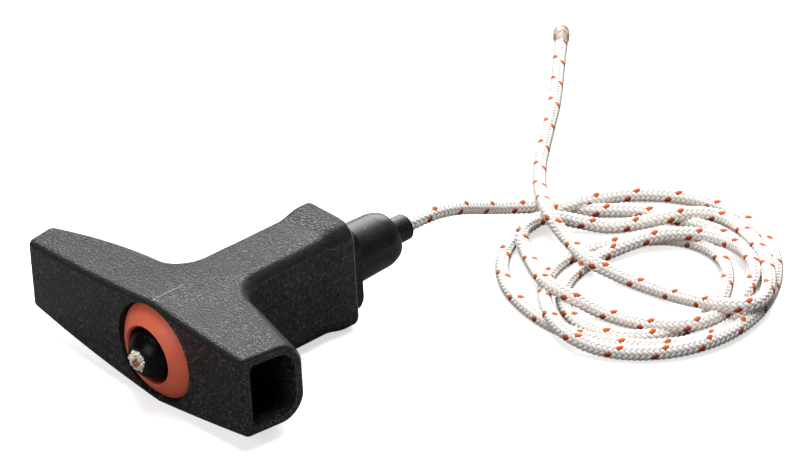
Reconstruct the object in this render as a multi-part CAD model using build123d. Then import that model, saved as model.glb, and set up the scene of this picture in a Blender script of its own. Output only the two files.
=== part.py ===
from build123d import *
import os
from math import cos, pi, radians, tan

# Recoil starter handle lying on its side, with its rope in loose turns beside it. Millimetres.
# The model is drawn about the stem's axis: X runs along the grip's bar, Y along the stem from
# the bar's front face to the rope, Z is up. The last step moves it so that the origin is under
# the middle of the handle and the surface that it lies on is Z = 0.

# Grip: the bar, a T's two arms of unequal length
LEFT_ARM = 51.8
RIGHT_ARM = 33.2
MIDDLE_HEIGHT = 29.8
LEFT_END_HEIGHT = 20.0
RIGHT_END_HEIGHT = 22.4
FRONT_CURVE_RADIUS = 537.0
LEFT_END_DEPTH = 10.4
RIGHT_END_DEPTH = 17.9
LEFT_WAIST_DEPTH = 17.6
RIGHT_WAIST_DEPTH = 21.4
LEFT_BULGE = 1.9
LEFT_END_SLANT = 9.0
RIGHT_END_SLANT = 7.0
FRONT_EDGE_RADIUS = 1.9
BACK_EDGE_RADIUS = 3.5
RIGHT_END_CORNER = 8.0
END_EDGE_RADIUS = 1.2
CROTCH_RADIUS = 7.0

# Grip: the flat stem and its flange
STEM_WIDTH = 18.0
NECK_HEIGHT = 28.4
STEM_LENGTH = 58.3
CREASE_LENGTH = 6.0
STEM_START_MARGIN = 1.6
RELIEF_CLEARANCE = 5.0
BLANK_MARGIN = 8.0
NECK_BLEND = 8.0
FLANGE_WIDTH = 20.0
FLANGE_HEIGHT = 31.2
FLANGE_THICKNESS = 2.6
FLARE_LENGTH = 7.0
FLANGE_CORNER = 5.0

# Grip: its hollows
RECESS_RADIUS = 13.5
RECESS_DEPTH = 4.6
STEM_BORE_RADIUS = 5.2
SOCKET_RADIUS = 6.4
SOCKET_DEPTH = 14.0
ARM_WALL = 2.2
LEFT_POCKET_DEPTH = 33.0
RIGHT_POCKET_DEPTH = 16.0
POCKET_DRAFT = 0.8
POCKET_CORNER = 1.5
POCKET_MARGIN = 3.0

# Elastomer bush: the coloured cone in the recess and its sleeve in the stem
BUSH_CLEARANCE = 0.1
CONE_RIM_RADIUS = 12.9
CONE_RIM_SET_BACK = 1.7
CONE_PROUD = 2.0
CONE_MOUTH_RADIUS = 7.5
CONE_MOUTH_DEPTH = 4.2
CONE_LIP = 0.7
CONE_BULGE = 0.25
SLEEVE_LENGTH = 37.0
SLEEVE_BORE_RADIUS = 2.4

# Rope bush: a dome on a shank, in the cone's mouth
NIPPLE_CLEARANCE = 0.1
NIPPLE_BASE_RADIUS = 7.0
NIPPLE_TIP_RADIUS = 3.6
NIPPLE_PROUD = 4.9
NIPPLE_RIM_HEIGHT = 2.2
NIPPLE_DOME_BULGE = 0.7
NIPPLE_SHANK_RADIUS = 3.5
NIPPLE_SHANK_LENGTH = 12.0

# Rubber boot on the flange
SPIGOT_CLEARANCE = 0.1
PLATE_WIDTH = 19.6
PLATE_HEIGHT = 23.6
PLATE_THICKNESS = 1.9
PLATE_CORNER = 5.0
PLATE_STEP = 0.6
PLATE_STEP_THICKNESS = 0.9
SPIGOT_LENGTH = 13.0
SNOUT_LENGTH = 18.9
SNOUT_BASE_RADIUS = 7.9
SNOUT_SHOULDER_RADIUS = 7.4
SNOUT_RIM_RADIUS = 6.3
SNOUT_SHOULDER_LENGTH = 4.6
SNOUT_SHOULDER_BULGE = 0.35
NOZZLE_RADIUS = 3.5
NOZZLE_LENGTH = 6.8
NOZZLE_EDGE = 0.7

# Rope
ROPE_DIAMETER = 3.5
ROPE_CLEARANCE = 0.1
ROPE_HEAD_RADIUS = 3.5
ROPE_HEAD_LENGTH = 1.6

# Loose turns, seen from the photograph's side: across and away from the viewer, from the stem's axis
VIEW_TURN = 50.0
COIL_LEFT = (86.0, 55.0)
COIL_BACK = (129.5, 88.6)
COIL_RIGHT = (161.2, 48.5)
COIL_FRONT = (123.5, 6.5)
COIL_HOLE_MIDDLE = (127.0, 40.0)
COIL_HOLE_WIDTH = 30.0
COIL_HOLE_DEPTH = 36.0
COIL_HEIGHT = 8.6
COIL_TOP_EDGE = 3.0
CROSSING_START = (109.0, 53.5)
CROSSING_END = (142.0, 25.5)
CROSSING_HEIGHT = 4.2
CROSSING_TOP_EDGE = 1.4

# Places along the stem's axis, worked out from the sizes
AXIS_HEIGHT = FLANGE_HEIGHT / 2
ROPE_RADIUS = ROPE_DIAMETER / 2
STEM_START = max(LEFT_WAIST_DEPTH, RIGHT_WAIST_DEPTH) + CROTCH_RADIUS + STEM_START_MARGIN
NECK_END = STEM_LENGTH - FLANGE_THICKNESS - FLARE_LENGTH
PLATE_BACK = STEM_LENGTH + PLATE_THICKNESS + PLATE_STEP_THICKNESS
SNOUT_END = STEM_LENGTH + SNOUT_LENGTH
NOZZLE_END = SNOUT_END + NOZZLE_LENGTH
MOUTH_FLOOR = CONE_MOUTH_DEPTH - CONE_PROUD
SHANK_END = MOUTH_FLOOR + NIPPLE_SHANK_LENGTH
ROPE_HOLE_RADIUS = ROPE_RADIUS + ROPE_CLEARANCE

# Corners of the bar from above, worked out from the sizes
LEFT_FRONT = (-LEFT_ARM, LEFT_ARM ** 2 / (2 * FRONT_CURVE_RADIUS))
RIGHT_FRONT = (RIGHT_ARM, RIGHT_ARM ** 2 / (2 * FRONT_CURVE_RADIUS))
LEFT_BACK = (-LEFT_ARM - tan(radians(LEFT_END_SLANT)) * LEFT_END_DEPTH, LEFT_FRONT[1] + LEFT_END_DEPTH)
RIGHT_BACK = (RIGHT_ARM + tan(radians(RIGHT_END_SLANT)) * RIGHT_END_DEPTH, RIGHT_FRONT[1] + RIGHT_END_DEPTH)
LEFT_CROTCH = (-STEM_WIDTH / 2, LEFT_WAIST_DEPTH)
RIGHT_CROTCH = (STEM_WIDTH / 2, RIGHT_WAIST_DEPTH)

# The rope's free stretches, as points across X, along Y and up from the surface
LEAD_ROUTE = [
    (0.0, NOZZLE_END, AXIS_HEIGHT),
    (0.0, 92.5, AXIS_HEIGHT),
    (-0.5, 101.6, 13.2),
    (-2.0, 110.4, 8.9),
    (-3.3, 118.2, 4.9),
    (-2.3, 125.6, 2.4),
    (1.8, 131.6, ROPE_RADIUS),
    (9.2, 135.8, ROPE_RADIUS),
]
TAIL_ROUTE = [
    (10.4, 122.6, 6.8),
    (3.6, 127.8, 6.7),
    (-3.8, 133.2, 5.8),
    (-11.4, 139.6, 3.2),
    (-18.6, 147.7, ROPE_RADIUS),
    (-27.7, 159.0, ROPE_RADIUS),
    (-40.8, 174.2, ROPE_RADIUS),
    (-53.7, 187.1, ROPE_RADIUS),
    (-66.0, 201.4, ROPE_RADIUS),
]


def turned(shape):
    """What is drawn flat, stood across the stem: its height becomes up and its normal the stem's way."""
    return Rot(-90, 0, 0) * shape


def along_stem(radius, start, end):
    """A round bar on the stem's axis."""
    return Pos(0, (start + end) / 2, 0) * turned(Cylinder(radius, end - start))


def stem_slab(width, height, corner, start, end):
    """A rounded rectangle across the stem, between two places along it."""
    section = RectangleRounded(width, height, corner)
    return Pos(0, start, 0) * turned(extrude(section, end - start))


def spun(*outline):
    """A solid of revolution about the stem's axis from lines and arcs of radius and place."""
    return revolve(make_face(list(outline)), Axis.Y)


def bowed(start, end, bulge):
    """An arc from one point of an outline to the next that stands out to its right."""
    run = Vector(*end) - Vector(*start)
    middle = (Vector(*start) + Vector(*end)) / 2
    out = Vector(run.Y, -run.X).normalized()
    return ThreePointArc(start, middle + out * bulge, end)


def near_vertex(face, place):
    """The corner of a flat outline that lies nearest to a place."""
    return min(face.vertices(), key=lambda v: (v.center() - Vector(*place)).length)


def half_height(x):
    """Half the bar's height where its section is taken: it tapers straight to each end."""
    end_height, arm = (LEFT_END_HEIGHT, LEFT_ARM) if x < 0 else (RIGHT_END_HEIGHT, RIGHT_ARM)
    return (MIDDLE_HEIGHT - (MIDDLE_HEIGHT - end_height) * abs(x) / arm) / 2


def back_of_bar(x):
    """The straight line between an arm's back corner and its crotch, where x is."""
    corner, crotch = (LEFT_BACK, LEFT_CROTCH) if x < 0 else (RIGHT_BACK, RIGHT_CROTCH)
    return crotch[1] + (corner[1] - crotch[1]) * (x - crotch[0]) / (corner[0] - crotch[0])


def bar_plan():
    """The T from above, as far as the crease runs, with a crowned front and rounded crotches."""
    left_middle = ((LEFT_BACK[0] + LEFT_CROTCH[0]) / 2, (LEFT_BACK[1] + LEFT_CROTCH[1]) / 2 + LEFT_BULGE)
    front = ThreePointArc(LEFT_FRONT, (0, 0), RIGHT_FRONT)
    round_the_right = Polyline(RIGHT_FRONT, RIGHT_BACK, RIGHT_CROTCH,
                               (STEM_WIDTH / 2, STEM_START), (-STEM_WIDTH / 2, STEM_START),
                               LEFT_CROTCH)
    left_side = ThreePointArc(LEFT_CROTCH, left_middle, LEFT_BACK)
    left_end = Line(LEFT_BACK, LEFT_FRONT)
    face = make_face([front, round_the_right, left_side, left_end])
    return fillet([near_vertex(face, LEFT_CROTCH), near_vertex(face, RIGHT_CROTCH)], CROTCH_RADIUS)


def bar_front_view():
    """The bar from in front: highest at the stem's axis, with straight slopes to both ends."""
    left = -LEFT_ARM - BLANK_MARGIN
    right = RIGHT_ARM + BLANK_MARGIN
    outline = Polyline((left, half_height(left)), (0, half_height(0)), (right, half_height(right)),
                       (right, -half_height(right)), (0, -half_height(0)), (left, -half_height(left)),
                       close=True)
    return Pos(0, -BLANK_MARGIN, 0) * turned(extrude(make_face(outline), STEM_START + 2 * BLANK_MARGIN))


def back_edges(blank):
    """The long edges behind the arms and along the stem, top and bottom."""
    top_and_bottom = [e for e in blank.edges() if abs(e.center().Z) > LEFT_END_HEIGHT / 2 - 1]
    behind = [e for e in top_and_bottom if e.center().Y > LEFT_FRONT[1]]
    inside_ends = [e for e in behind if -LEFT_ARM < e.center().X < RIGHT_ARM]
    return [e for e in inside_ends if abs(e.center().X) > STEM_WIDTH / 2 - 0.1]


def front_edges(blank):
    """The long edges of the front face, top and bottom."""
    top_and_bottom = [e for e in blank.edges() if abs(e.center().Z) > LEFT_END_HEIGHT / 2 - 1]
    return [e for e in top_and_bottom if e.center().Y < LEFT_FRONT[1] - 0.2]


def end_edges(blank):
    """The outlines of both end faces."""
    faces = blank.faces().sort_by(Axis.X)
    return faces[0].edges() + faces[-1].edges()


def crease_relief():
    """What comes off above the middle, so that the bar's crease runs out into a flat top."""
    ridge = MIDDLE_HEIGHT / 2
    clear = ridge + RELIEF_CLEARANCE
    side = Polyline((-RELIEF_CLEARANCE, clear), (-RELIEF_CLEARANCE, ridge), (CREASE_LENGTH, ridge),
                    (STEM_START, NECK_HEIGHT / 2), (STEM_START, clear), close=True)
    above = extrude(Plane.YZ * make_face(side), LEFT_ARM, both=True)
    return above + mirror(above, Plane.XY)


def arm_section(x, inset, front_corner, back_corner):
    """An arm's D-shaped section across X, set in from its outside all round."""
    front = x ** 2 / (2 * FRONT_CURVE_RADIUS) + inset
    back = back_of_bar(x) - inset
    half = half_height(x) - inset
    across = Plane(origin=(x, 0, 0), x_dir=(0, 1, 0), z_dir=(1, 0, 0))
    outline = make_face(Polyline((front, -half), (back, -half), (back, half), (front, half), close=True))
    outline = fillet([v for v in outline.vertices() if v.X > (front + back) / 2], back_corner)
    outline = fillet([v for v in outline.vertices() if abs(v.X - front) < 0.01], front_corner)
    return across * outline


def right_end_rounding():
    """What comes off the right arm's back corners, more and more towards its end."""
    outside = -0.05
    start = STEM_WIDTH / 2 + CROTCH_RADIUS
    end = RIGHT_BACK[0] + 2
    kept = loft([arm_section(start, outside, 0.1, BACK_EDGE_RADIUS),
                 arm_section(end, outside, 0.1, RIGHT_END_CORNER)])
    back = Pos((start + end) / 2, RIGHT_BACK[1], 0)
    block = back * Box(end - start, RIGHT_END_DEPTH, 2 * MIDDLE_HEIGHT)
    return block - kept


def arm_pocket(mouth, depth, back_corner):
    """The hollow of an arm, open at its end, with draft towards its floor."""
    floor = mouth - depth if mouth > 0 else mouth + depth
    return loft([arm_section(mouth, ARM_WALL, POCKET_CORNER, back_corner - ARM_WALL),
                 arm_section(floor, ARM_WALL + POCKET_DRAFT, POCKET_CORNER, BACK_EDGE_RADIUS - POCKET_CORNER)])


def neck(bar):
    """The stem behind the bar: the bar's own section there blends into a rounded rectangle."""
    blend_end = STEM_START + NECK_BLEND
    bar_end = bar.faces().sort_by(Axis.Y)[-1]
    stem_section = RectangleRounded(STEM_WIDTH, NECK_HEIGHT, BACK_EDGE_RADIUS)
    blend = loft([bar_end, (Pos(0, blend_end, 0) * turned(stem_section)).face()])
    return blend + stem_slab(STEM_WIDTH, NECK_HEIGHT, BACK_EDGE_RADIUS, blend_end, NECK_END)


def flare():
    """The neck's section grown smoothly into the flange's."""
    steps = 6
    sections = []
    for step in range(steps + 1):
        grown = (1 - cos(pi * step / steps)) / 2
        width = STEM_WIDTH + (FLANGE_WIDTH - STEM_WIDTH) * grown
        height = NECK_HEIGHT + (FLANGE_HEIGHT - NECK_HEIGHT) * grown
        corner = BACK_EDGE_RADIUS + (FLANGE_CORNER - BACK_EDGE_RADIUS) * grown
        place = Pos(0, NECK_END + FLARE_LENGTH * step / steps, 0)
        sections.append(place * turned(RectangleRounded(width, height, corner)))
    return loft(sections)


def grip_body():
    """One moulding: bar, stem and flange, with the recess, the stepped bore and the arms' pockets."""
    blank = extrude(bar_plan(), MIDDLE_HEIGHT, both=True) & bar_front_view()
    blank = fillet(back_edges(blank), BACK_EDGE_RADIUS)
    blank = fillet(front_edges(blank), FRONT_EDGE_RADIUS)
    blank = blank - crease_relief() - right_end_rounding()
    blank = fillet(end_edges(blank), END_EDGE_RADIUS)
    flange = stem_slab(FLANGE_WIDTH, FLANGE_HEIGHT, FLANGE_CORNER, STEM_LENGTH - FLANGE_THICKNESS, STEM_LENGTH)
    solid = blank + neck(blank) + flare() + flange
    solid = solid - along_stem(RECESS_RADIUS, -RECESS_DEPTH, RECESS_DEPTH)
    solid = solid - along_stem(STEM_BORE_RADIUS, 0, STEM_LENGTH)
    solid = solid - along_stem(SOCKET_RADIUS, STEM_LENGTH - SOCKET_DEPTH, STEM_LENGTH)
    left = arm_pocket(LEFT_BACK[0] - POCKET_MARGIN, LEFT_POCKET_DEPTH + POCKET_MARGIN, BACK_EDGE_RADIUS)
    right = arm_pocket(RIGHT_BACK[0] + POCKET_MARGIN, RIGHT_POCKET_DEPTH + POCKET_MARGIN, RIGHT_END_CORNER)
    return solid - left - right


def damper_bush():
    """The elastomer cone in the recess, with the rope bush's mouth, and its sleeve in the stem."""
    rim = CONE_RIM_RADIUS
    sleeve = STEM_BORE_RADIUS - BUSH_CLEARANCE
    bore = NIPPLE_SHANK_RADIUS + NIPPLE_CLEARANCE
    lip = (CONE_MOUTH_RADIUS + CONE_LIP, -CONE_PROUD)
    end = RECESS_DEPTH + SLEEVE_LENGTH
    inside = Polyline((CONE_MOUTH_RADIUS, -CONE_PROUD + CONE_LIP), (CONE_MOUTH_RADIUS, MOUTH_FLOOR),
                      (bore, MOUTH_FLOOR), (bore, SHANK_END), (SLEEVE_BORE_RADIUS, SHANK_END),
                      (SLEEVE_BORE_RADIUS, end), (sleeve, end), (sleeve, RECESS_DEPTH),
                      (rim, RECESS_DEPTH), (rim, CONE_RIM_SET_BACK))
    cone = bowed(lip, (rim, CONE_RIM_SET_BACK), CONE_BULGE)
    rounding = Line((CONE_MOUTH_RADIUS, -CONE_PROUD + CONE_LIP), lip)
    return spun(inside, cone, rounding)


def rope_nipple():
    """The glossy dome on a shank that holds the rope's end in the cone's mouth."""
    rim = (NIPPLE_BASE_RADIUS, MOUTH_FLOOR - NIPPLE_RIM_HEIGHT)
    tip = (NIPPLE_TIP_RADIUS, -NIPPLE_PROUD)
    dome = bowed(tip, rim, NIPPLE_DOME_BULGE)
    rest = Polyline(rim, (NIPPLE_BASE_RADIUS, MOUTH_FLOOR), (NIPPLE_SHANK_RADIUS, MOUTH_FLOOR),
                    (NIPPLE_SHANK_RADIUS, SHANK_END), (ROPE_HOLE_RADIUS, SHANK_END),
                    (ROPE_HOLE_RADIUS, -NIPPLE_PROUD), tip)
    return spun(dome, rest)


def rubber_boot():
    """A stepped plate on the flange, a spigot in the stem's socket, a tapered snout and a nozzle."""
    plate = stem_slab(PLATE_WIDTH, PLATE_HEIGHT, PLATE_CORNER, STEM_LENGTH, STEM_LENGTH + PLATE_THICKNESS)
    step = stem_slab(PLATE_WIDTH - 2 * PLATE_STEP, PLATE_HEIGHT - 2 * PLATE_STEP, PLATE_CORNER - PLATE_STEP,
                     STEM_LENGTH, PLATE_BACK)
    spigot = along_stem(SOCKET_RADIUS - SPIGOT_CLEARANCE, STEM_LENGTH - SPIGOT_LENGTH, STEM_LENGTH)
    shoulder = (SNOUT_SHOULDER_RADIUS, SNOUT_END - SNOUT_SHOULDER_LENGTH)
    rim = (SNOUT_RIM_RADIUS, SNOUT_END)
    snout = spun(Polyline((0, STEM_LENGTH), (SNOUT_BASE_RADIUS, STEM_LENGTH), (SNOUT_BASE_RADIUS, PLATE_BACK),
                          shoulder),
                 bowed(shoulder, rim, SNOUT_SHOULDER_BULGE), Polyline(rim, (0, SNOUT_END), (0, STEM_LENGTH)))
    nozzle = along_stem(NOZZLE_RADIUS, SNOUT_END, NOZZLE_END)
    nozzle = fillet(nozzle.edges().sort_by(Axis.Y)[-1], NOZZLE_EDGE)
    hole = along_stem(ROPE_HOLE_RADIUS, STEM_LENGTH - SPIGOT_LENGTH, NOZZLE_END)
    return plate + step + spigot + snout + nozzle - hole


def rope_in_grip():
    """The rope's anchored end: straight through the handle, with its melted head on the dome."""
    head = spun(Polyline((0, -NIPPLE_PROUD), (0, -NIPPLE_PROUD - ROPE_HEAD_LENGTH)),
                bowed((0, -NIPPLE_PROUD - ROPE_HEAD_LENGTH), (ROPE_HEAD_RADIUS, -NIPPLE_PROUD), ROPE_HEAD_LENGTH / 3),
                Line((ROPE_HEAD_RADIUS, -NIPPLE_PROUD), (0, -NIPPLE_PROUD)))
    return along_stem(ROPE_RADIUS, -NIPPLE_PROUD, NOZZLE_END) + head


def crossing_strand():
    """The strand that comes back across the gap, as a low bar from one side to the other."""
    start, end = Vector(*CROSSING_START), Vector(*CROSSING_END)
    middle = Plane(origin=(start + end) / 2, x_dir=end - start, z_dir=(0, 0, 1))
    bar = extrude(middle * Rectangle((end - start).length, ROPE_DIAMETER), CROSSING_HEIGHT)
    return fillet(bar.edges().group_by(Axis.Z)[-1], CROSSING_TOP_EDGE)


def rope_coil():
    """The loose turns as one solid of their outer shape, with the gap that they leave in the middle."""
    quarters = [((COIL_BACK[0], COIL_LEFT[1]), COIL_LEFT, COIL_BACK, 90),
                ((COIL_BACK[0], COIL_RIGHT[1]), COIL_RIGHT, COIL_BACK, 0),
                ((COIL_FRONT[0], COIL_RIGHT[1]), COIL_RIGHT, COIL_FRONT, 270),
                ((COIL_FRONT[0], COIL_LEFT[1]), COIL_LEFT, COIL_FRONT, 180)]
    edges = [EllipticalCenterArc(middle, abs(side[0] - middle[0]), abs(end[1] - middle[1]), first, arc_size=90)
             for middle, side, end, first in quarters]
    outline = make_face(edges)
    turns = extrude(outline, COIL_HEIGHT)
    turns = fillet(turns.edges().group_by(Axis.Z)[-1], COIL_TOP_EDGE)
    gap = Pos(*COIL_HOLE_MIDDLE) * Ellipse(COIL_HOLE_WIDTH / 2, COIL_HOLE_DEPTH / 2)
    return Rot(0, 0, VIEW_TURN) * (turns - extrude(gap, COIL_HEIGHT) + crossing_strand())


def cord_tube(name, route):
    """The rope along a route: straight runs joined by arcs as large as their runs allow."""
    points = [Vector(*point) for point in route]
    runs = [after - before for before, after in zip(points, points[1:])]
    radii = [0.45 * min(run.length, onward.length) / tan(radians(run.get_angle(onward)) / 2)
             for run, onward in zip(runs, runs[1:])]
    path = FilletPolyline(*points, radius=radii)
    tube = sweep(Plane(path @ 0, z_dir=path % 0) * Circle(ROPE_RADIUS), path)
    print(name, "radii", [round(radius, 1) for radius in radii], "length", round(path.length, 1),
          "volume over section times length", round(tube.volume / (pi * ROPE_RADIUS ** 2 * path.length), 4))
    return tube


def main():
    os.makedirs("parts", exist_ok=True)
    handle = {
        "grip_body": grip_body(),
        "damper_bush": damper_bush(),
        "rope_nipple": rope_nipple(),
        "rubber_boot": rubber_boot(),
        "rope_in_grip": rope_in_grip(),
    }
    handle = {name: Pos(0, 0, AXIS_HEIGHT) * shape for name, shape in handle.items()}
    coil = rope_coil()
    rope = {
        "rope_coil": coil,
        "rope_lead": cord_tube("rope_lead", LEAD_ROUTE) - coil,
        "rope_tail": cord_tube("rope_tail", TAIL_ROUTE) - coil,
    }
    boxes = [shape.bounding_box() for shape in handle.values()]
    middle_x = (min(box.min.X for box in boxes) + max(box.max.X for box in boxes)) / 2
    middle_y = (min(box.min.Y for box in boxes) + max(box.max.Y for box in boxes)) / 2
    print("moved by", round(-middle_x, 3), round(-middle_y, 3))
    for name, shape in (handle | rope).items():
        moved = Pos(-middle_x, -middle_y, 0) * shape
        export_step(Compound(moved.solids()), f"parts/{name}.step")


main()
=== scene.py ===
# %% [markdown]
# # A recoil starter handle and its rope
#
# This lesson dresses the CAD model of a pull handle that starts a small engine: a black T-shaped
# grip, an orange rubber cone with a black dome in it, a rubber boot, and a white braided rope that
# lies beside it in loose turns. The CAD model is the frame: every new piece is made where it says.
# We load it first.

# %% Load the frame
import math

import bpy
import numpy as np
from mathutils import Matrix, Vector


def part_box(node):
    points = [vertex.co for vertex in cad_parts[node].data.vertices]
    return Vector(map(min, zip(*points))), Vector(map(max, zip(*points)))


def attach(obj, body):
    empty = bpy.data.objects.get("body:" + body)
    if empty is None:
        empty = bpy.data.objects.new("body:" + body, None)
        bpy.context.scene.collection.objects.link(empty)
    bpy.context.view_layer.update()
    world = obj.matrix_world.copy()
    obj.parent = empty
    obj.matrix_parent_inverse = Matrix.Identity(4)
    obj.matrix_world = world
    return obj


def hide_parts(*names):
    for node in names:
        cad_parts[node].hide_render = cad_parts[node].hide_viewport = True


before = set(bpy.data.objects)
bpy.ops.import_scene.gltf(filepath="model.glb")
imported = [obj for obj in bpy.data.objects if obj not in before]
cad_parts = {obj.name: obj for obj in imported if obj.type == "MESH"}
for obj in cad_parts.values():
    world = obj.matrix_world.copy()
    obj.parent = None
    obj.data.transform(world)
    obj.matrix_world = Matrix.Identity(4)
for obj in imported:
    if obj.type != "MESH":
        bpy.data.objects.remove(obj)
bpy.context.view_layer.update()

# %% [markdown]
# ## The camera
#
# The picture was taken with a long lens from in front and to the right, about 31 degrees above
# the table, with the camera leaning a little. A long lens far away keeps parallel edges almost
# parallel. The camera could be turned by three angles, but we need its directions again later, to
# lift the rope towards it. So we work them out here: to its right, up, and back towards it.

# %% The camera
LOOKED_AT = Vector((-0.00303, 0.05341, 0.00598))
CAMERA_AZIMUTH = math.radians(49.95)
CAMERA_ELEVATION = math.radians(30.88)
CAMERA_LEAN = math.radians(-3.34)
CAMERA_DISTANCE = 1.45396
CAMERA_LENS = 252.75

towards_camera = Vector((math.sin(CAMERA_AZIMUTH) * math.cos(CAMERA_ELEVATION),
                         -math.cos(CAMERA_AZIMUTH) * math.cos(CAMERA_ELEVATION),
                         math.sin(CAMERA_ELEVATION)))
level_right = (-towards_camera).cross(Vector((0, 0, 1))).normalized()
level_up = level_right.cross(-towards_camera)
camera_right = math.cos(CAMERA_LEAN) * level_right + math.sin(CAMERA_LEAN) * level_up
camera_up = math.cos(CAMERA_LEAN) * level_up - math.sin(CAMERA_LEAN) * level_right

camera = bpy.data.objects.new("camera", bpy.data.cameras.new("camera"))
bpy.context.scene.collection.objects.link(camera)
turning = Matrix((camera_right, camera_up, towards_camera)).transposed().to_4x4()
camera.matrix_world = Matrix.Translation(LOOKED_AT + CAMERA_DISTANCE * towards_camera) @ turning
camera.data.lens = CAMERA_LENS
camera.data.sensor_width = 36.0
camera.data.clip_start = 0.05
bpy.context.scene.camera = camera
print("camera at", [round(value, 3) for value in camera.location])

# %% [markdown]
# ## The rope's way across the table
#
# The real rope leaves the boot's nozzle, sinks to the table, goes round in loose turns that are all
# different, comes back across the middle, climbs over where it began and runs away to its free end.
# Its first and last stretches are one of a kind, so they are lists of places, in millimetres: across,
# along the stem and, near the nozzle, up.

# %% The stretches that are one of a kind
MM = 0.001
ROPE_DIAMETER = 3.5
ROPE_RADIUS = ROPE_DIAMETER / 2

FROM_THE_NOZZLE = [(9.03, 45.26, 15.6), (9.03, 53.8, 15.6), (8.5, 62.9, 13.2), (7.0, 71.7, 8.9),
                   (5.7, 79.5, 4.9), (6.7, 86.9, 2.4), (10.8, 92.9, 1.75), (18.2, 97.1, 1.75)]
LAST_TURN = [(17.9, 76.3), (14.2, 80.6), (13.2, 85.6), (15.6, 89.8), (21.6, 92.4), (30.2, 95.8),
             (34.6, 103.2), (37.4, 110.6), (41.6, 117.4), (48.4, 120.4), (57.0, 119.2), (65.6, 115.6),
             (73.4, 110.8), (80.0, 104.8), (84.2, 98.2), (82.6, 92.2), (76.6, 88.2), (68.6, 84.9),
             (57.6, 82.4), (47.6, 81.3), (38.6, 80.9), (26.8, 84.5), (17.8, 88.0)]
FREE_END = [(11.0, 91.4), (3.1, 96.7), (-6.3, 105.6), (-13.1, 113.6), (-20.0, 121.8), (-26.9, 130.2),
            (-35.1, 138.9), (-44.0, 148.0), (-51.0, 155.4), (-55.8, 160.2)]
print(len(FROM_THE_NOZZLE), "places from the nozzle,", len(LAST_TURN + FREE_END), "at the other end")

# %% [markdown]
# ## The turns of the heap
#
# A spiral by formula would make turns that are all alike, which a dropped rope never shows. So for
# each turn we say how far the rope lies from the middle of the heap, at eight angles. A loop turns
# that into places, with one more halfway between two neighbours, found on a smooth line through four.

# %% The turns of the heap
HEAP_MIDDLE = (55.5, 86.7)
VIEW_TURN = 50.0
FIRST_ANGLE = 112.5
ANGLE_STEP = 45.0
REACHES = [[37.4, 28.8, 27.6, 28.6, 34.4, 33.8, 34.6, 40.6],
           [42.8, 40.3, 34.4, 32.3, 35.8, 37.7, 30.0, 24.8],
           [18.8, 19.7, 20.2, 20.4, 26.4, 30.6, 25.4, 18.0],
           [16.6, 22.4, 27.2, 25.8, 26.6, 21.8, 21.8, 33.0]]


def between(reaches, index):
    """The reach halfway between two neighbours, on a smooth line through four of them."""
    last = len(reaches) - 1
    before, here, after, beyond = (reaches[min(max(index + step, 0), last)] for step in (-1, 0, 1, 2))
    return (9 * (here + after) - before - beyond) / 16


def heap_point(reach, angle):
    """A place on the table, by its reach and angle from the middle of the heap."""
    turned = math.radians(angle + VIEW_TURN)
    return (HEAP_MIDDLE[0] + reach * math.cos(turned), HEAP_MIDDLE[1] + reach * math.sin(turned))


def turn_points(table):
    """Sixteen points to a turn, clockwise from above."""
    reaches = [reach for turn in table for reach in turn]
    points = []
    for index, reach in enumerate(reaches):
        points.append(heap_point(reach, FIRST_ANGLE - ANGLE_STEP * index))
        if index < len(reaches) - 1:
            points.append(heap_point(between(reaches, index), FIRST_ANGLE - ANGLE_STEP * (index + 0.5)))
    return points


flat_points = [(x, y, ROPE_RADIUS) for x, y in turn_points(REACHES) + LAST_TURN + FREE_END]
route = [np.array(point) for point in FROM_THE_NOZZLE + flat_points]
print(len(route), "points along the rope,", len(turn_points(REACHES)), "of them in the turns")

# %% [markdown]
# ## Laying each turn on the ones before
#
# So far every turn lies flat, and where two cross they share a place. A real rope rests on what is
# already there. A physics simulation of the rope could find that out, but it would also move the
# turns about. So we walk along the rope, and wherever it comes closer than its own thickness to an
# earlier stretch we raise it. Raising a point straight up would move it in the picture, so it rises
# along the line to the camera, and the picture stays the same.

# %% Walking along the rope and lifting it clear
RISE = np.array(towards_camera / towards_camera.z)
SPAN_STEPS = 12
LIFT_STEP = 0.1
LIFT_LIMIT = 14.0


def walked(points, steps):
    """Places along the spline that these control points make, and where each is among them."""
    places, owners = [], []
    for index in range(len(points) - 2):
        start = points[0] if index == 0 else (points[index] + points[index + 1]) / 2
        corner = points[index + 1]
        end = points[-1] if index == len(points) - 3 else (points[index + 1] + points[index + 2]) / 2
        for t in np.arange(steps) / steps:
            places.append((1 - t) ** 2 * start + 2 * t * (1 - t) * corner + t * t * end)
            owners.append(index + 0.5 + t)
    return np.array(places), np.array(owners)


def lowest_lift(place, beneath):
    """How far a place has to rise to lie clear on top of what is beneath it."""
    lift = 0.0
    while lift < LIFT_LIMIT:
        if ((beneath - place - lift * RISE) ** 2).sum(axis=1).min() >= ROPE_DIAMETER ** 2:
            break
        lift += LIFT_STEP
    return lift


print("to rise by 1 mm, a point moves by", [round(float(value), 2) for value in RISE])

# %% [markdown]
# ## Long low humps
#
# A rope is too stiff to jump over another: it climbs in a long low hump. So each lift is first
# widened to a short flat top, and then the heights are smoothed along the rope. Smoothing moves what
# the next turn rests on, so we go over the whole rope a few times until it has settled.

# %% Lay the rope down turn by turn
OWN_NEIGHBOURHOOD = 9.0
HUMP_TOP = 3.0
HUMP_LENGTH = 4.0
SETTLING_ROUNDS = 4


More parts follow.
